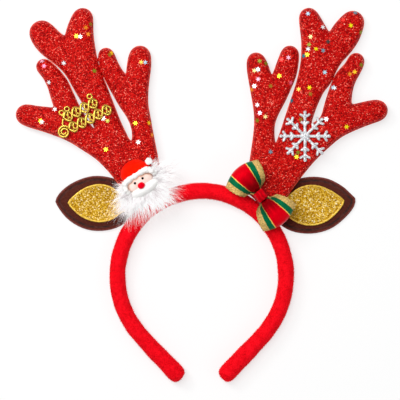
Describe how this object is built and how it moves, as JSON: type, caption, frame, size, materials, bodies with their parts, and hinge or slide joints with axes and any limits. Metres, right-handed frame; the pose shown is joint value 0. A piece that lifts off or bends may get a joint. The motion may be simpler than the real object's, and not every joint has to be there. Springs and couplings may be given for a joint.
{
  "type": "reindeer antler headband",
  "caption": "Plush open hoop headband with padded glitter antlers, felt ears, a fur trim with a small bearded resin head, a striped ribbon bow, a gold scroll and a snowflake.",
  "frame": {"origin": "under the middle of the whole outline, on the surface that the headband lies on", "axes": "+Z out of the front, +Y from the hoop's open ends towards the antler tips, +X to the right of the front view"},
  "size_m": [0.2418, 0.2446, 0.024],
  "materials": {
    "plush": "short red pile",
    "glitter_fabric": "red glitter on cloth",
    "felt": "brown felt",
    "gold_glitter": "gold glitter on cloth",
    "fur": "long white pile",
    "painted_resin": "painted, satin",
    "gold_metallised": "bright gold metallised",
    "silver_glitter": "silver white glitter",
    "striped_ribbon": "satin, red with green and gold stripes"
  },
  "bodies": {
    "root": {"headband": "plush", "antler_left": "glitter_fabric", "antler_right": "glitter_fabric", "ear_left": "felt", "ear_right": "felt", "ear_inner_left": "gold_glitter", "ear_inner_right": "gold_glitter", "fur_trim": "fur", "resin_head": "painted_resin", "scroll_charm": "gold_metallised", "snowflake": "silver_glitter", "bow_ribbon": "striped_ribbon", "bow_knot": "striped_ribbon"}
  },
  "joints": []
}
